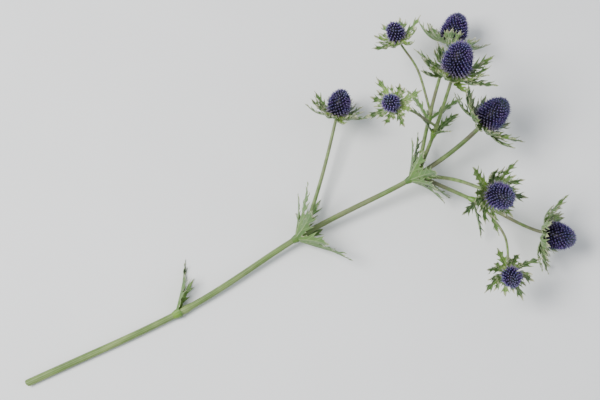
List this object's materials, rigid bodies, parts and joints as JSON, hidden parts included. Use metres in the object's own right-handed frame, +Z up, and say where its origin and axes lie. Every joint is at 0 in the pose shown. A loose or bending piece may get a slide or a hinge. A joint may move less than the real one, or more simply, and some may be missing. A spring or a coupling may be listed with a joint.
{
  "type": "sea holly stem",
  "caption": "Cut, branching sea holly stem lying on a surface, with dense domed blue flower heads over whorls of narrow, spiny, toothed green bracts.",
  "frame": {"origin": "on the surface that the stem lies on, under the middle of its footprint", "axes": "+X along the stem from its cut end to the flower heads, +Z up, away from the surface"},
  "size_m": [0.5216, 0.285, 0.1381],
  "materials": {
    "stem_green": "satin, with a purple-brown flush towards the flower heads",
    "leaf_green": "satin, paler midrib and margins",
    "bract_green": "satin, silvery midrib, margins and spines",
    "floret_blue": "matte, paler lilac tips"
  },
  "bodies": {
    "root": {"stem": "stem_green", "head_main": "floret_blue", "head_left": "floret_blue", "head_right": "floret_blue", "head_upper_left": "floret_blue", "head_upper_right": "floret_blue", "head_low": "floret_blue", "head_left_twig": "floret_blue", "head_right_twig": "floret_blue", "head_upper_twig": "floret_blue", "bracts_main": "bract_green", "bracts_left": "bract_green", "bracts_right": "bract_green", "bracts_upper_left": "bract_green", "bracts_upper_right": "bract_green", "bracts_low": "bract_green", "bracts_left_twig": "bract_green", "bracts_right_twig": "bract_green", "bracts_upper_twig": "bract_green", "leaf_stem": "leaf_green", "leaves_lower": "leaf_green", "leaves_upper": "leaf_green", "leaves_left": "leaf_green", "leaves_right": "leaf_green", "leaves_upper_left": "leaf_green"}
  },
  "joints": []
}
